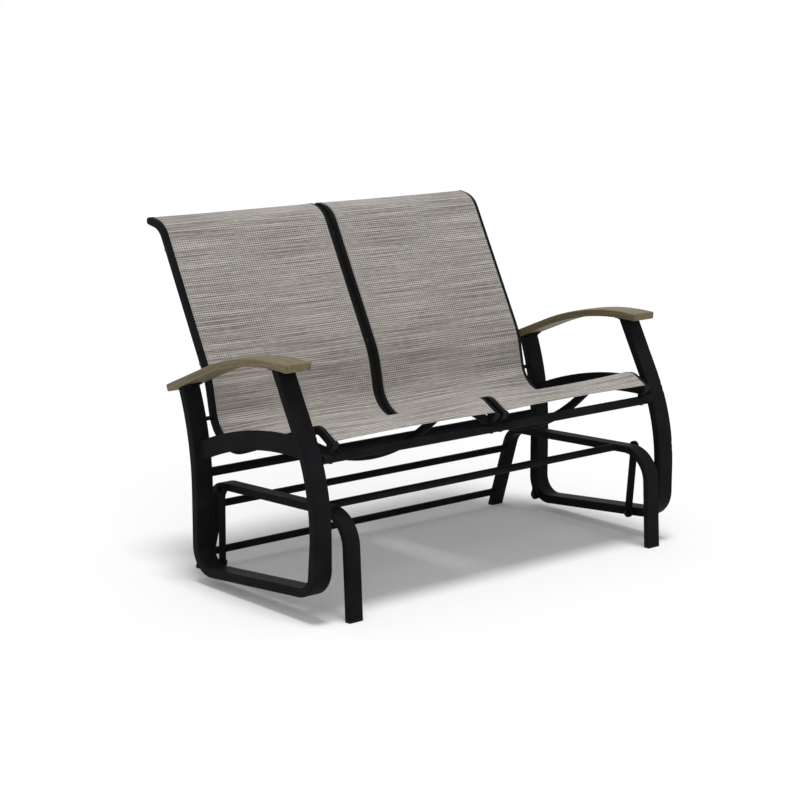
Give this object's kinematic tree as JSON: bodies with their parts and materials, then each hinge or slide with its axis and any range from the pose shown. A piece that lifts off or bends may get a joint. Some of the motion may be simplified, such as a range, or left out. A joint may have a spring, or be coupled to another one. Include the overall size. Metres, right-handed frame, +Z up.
{
  "type": "glider bench",
  "caption": "Glider bench with side-by-side woven mesh sling seats, black tube frame, curved wood-grain armrests and link-hung seat on a floor base",
  "frame": {"origin": "on the floor, under the middle of the whole bench's width and depth", "axes": "+X along the bench, from its left to its right as seen from the front; -Y is the side that people face; +Z up"},
  "size_m": [1.27, 0.8329, 0.9115],
  "materials": {
    "frame_metal": "fine-texture satin powder coat, black",
    "link_steel": "satin powder coat on steel, black",
    "fastener_steel": "black plated steel, satin",
    "armrest_polymer": "brushed wood-grain polymer, weathered brown grey",
    "cap_plastic": "moulded black plastic",
    "bush_plastic": "self-lubricating black plastic",
    "spline_polymer": "extruded black spline cord",
    "sling_mesh": "woven coated mesh sling, warm grey with dark and pale flecks"
  },
  "bodies": {
    "base": {"base_end_frame_left": "frame_metal", "base_end_frame_right": "frame_metal", "base_stretcher_front": "frame_metal", "base_stretcher_rear_lower": "frame_metal", "base_stretcher_rear_upper": "frame_metal", "foot_caps": "cap_plastic", "upper_pivot_bolts": "fastener_steel", "upper_pivot_inserts": "fastener_steel", "upper_pivot_spacers": "frame_metal", "upper_pivot_washers": "fastener_steel"},
    "link_front_left": {"glide_link_front_left": "link_steel", "link_bushes_front_left": "bush_plastic"},
    "link_front_right": {"glide_link_front_right": "link_steel", "link_bushes_front_right": "bush_plastic"},
    "link_rear_left": {"glide_link_rear_left": "link_steel", "link_bushes_rear_left": "bush_plastic"},
    "link_rear_right": {"glide_link_rear_right": "link_steel", "link_bushes_rear_right": "bush_plastic"},
    "seat": {"arm_frame_left": "frame_metal", "arm_frame_right": "frame_metal", "armrest_left": "armrest_polymer", "armrest_plates_front": "frame_metal", "armrest_plates_rear": "frame_metal", "armrest_right": "armrest_polymer", "armrest_screws": "fastener_steel", "back_spreader_lower_left": "frame_metal", "back_spreader_lower_right": "frame_metal", "back_spreader_upper_left": "frame_metal", "back_spreader_upper_right": "frame_metal", "front_cross_beam": "frame_metal", "front_lug_bolts": "fastener_steel", "front_rail_lugs": "frame_metal", "lower_pivot_bolts": "fastener_steel", "lower_pivot_inserts": "fastener_steel", "lower_pivot_spacers": "frame_metal", "lower_pivot_washers": "fastener_steel", "rail_front_caps": "cap_plastic", "rail_joining_bolts": "fastener_steel", "rail_joining_nuts": "fastener_steel", "rail_joining_spacers": "frame_metal", "rail_post_bolts": "fastener_steel", "rail_post_inserts": "fastener_steel", "rail_post_spacers": "frame_metal", "rail_top_caps": "cap_plastic", "rear_cross_beam": "frame_metal", "seat_rail_inner_left": "frame_metal", "seat_rail_inner_right": "frame_metal", "seat_rail_outer_left": "frame_metal", "seat_rail_outer_right": "frame_metal", "seat_spreader_left": "frame_metal", "seat_spreader_right": "frame_metal", "side_brace_left": "frame_metal", "side_brace_right": "frame_metal", "sling_left": "sling_mesh", "sling_right": "sling_mesh", "sling_splines": "spline_polymer", "spreader_screws": "fastener_steel"}
  },
  "joints": [
    {"name": "glide", "type": "hinge", "parent": "base", "child": "link_front_left", "pos_m": [-0.55815, -0.3009, 0.25927], "axis": [1, 0, 0], "range_deg": [-12, 12]},
    {"name": "front_right_link_swing", "type": "hinge", "parent": "base", "child": "link_front_right", "pos_m": [0.55815, -0.3009, 0.25927], "axis": [1, 0, 0], "range_deg": [-12.5, 12.5]},
    {"name": "rear_left_link_swing", "type": "hinge", "parent": "base", "child": "link_rear_left", "pos_m": [-0.55815, 0.0861, 0.24418], "axis": [1, 0, 0], "range_deg": [-12, 12]},
    {"name": "rear_right_link_swing", "type": "hinge", "parent": "base", "child": "link_rear_right", "pos_m": [0.55815, 0.0861, 0.24418], "axis": [1, 0, 0], "range_deg": [-12, 12]},
    {"name": "seat_on_front_left_link", "type": "hinge", "parent": "link_front_left", "child": "seat", "pos_m": [-0.55815, -0.2839, 0.0675], "axis": [1, 0, 0], "range_deg": [-13.5, 13.5]}
  ],
  "couplings": [
    {"joint": "front_right_link_swing", "follows": "glide", "ratio": 1},
    {"joint": "rear_left_link_swing", "follows": "glide", "ratio": 0.9696},
    {"joint": "rear_right_link_swing", "follows": "glide", "ratio": 0.9696},
    {"joint": "seat_on_front_left_link", "follows": "glide", "ratio": -1.0402}
  ]
}
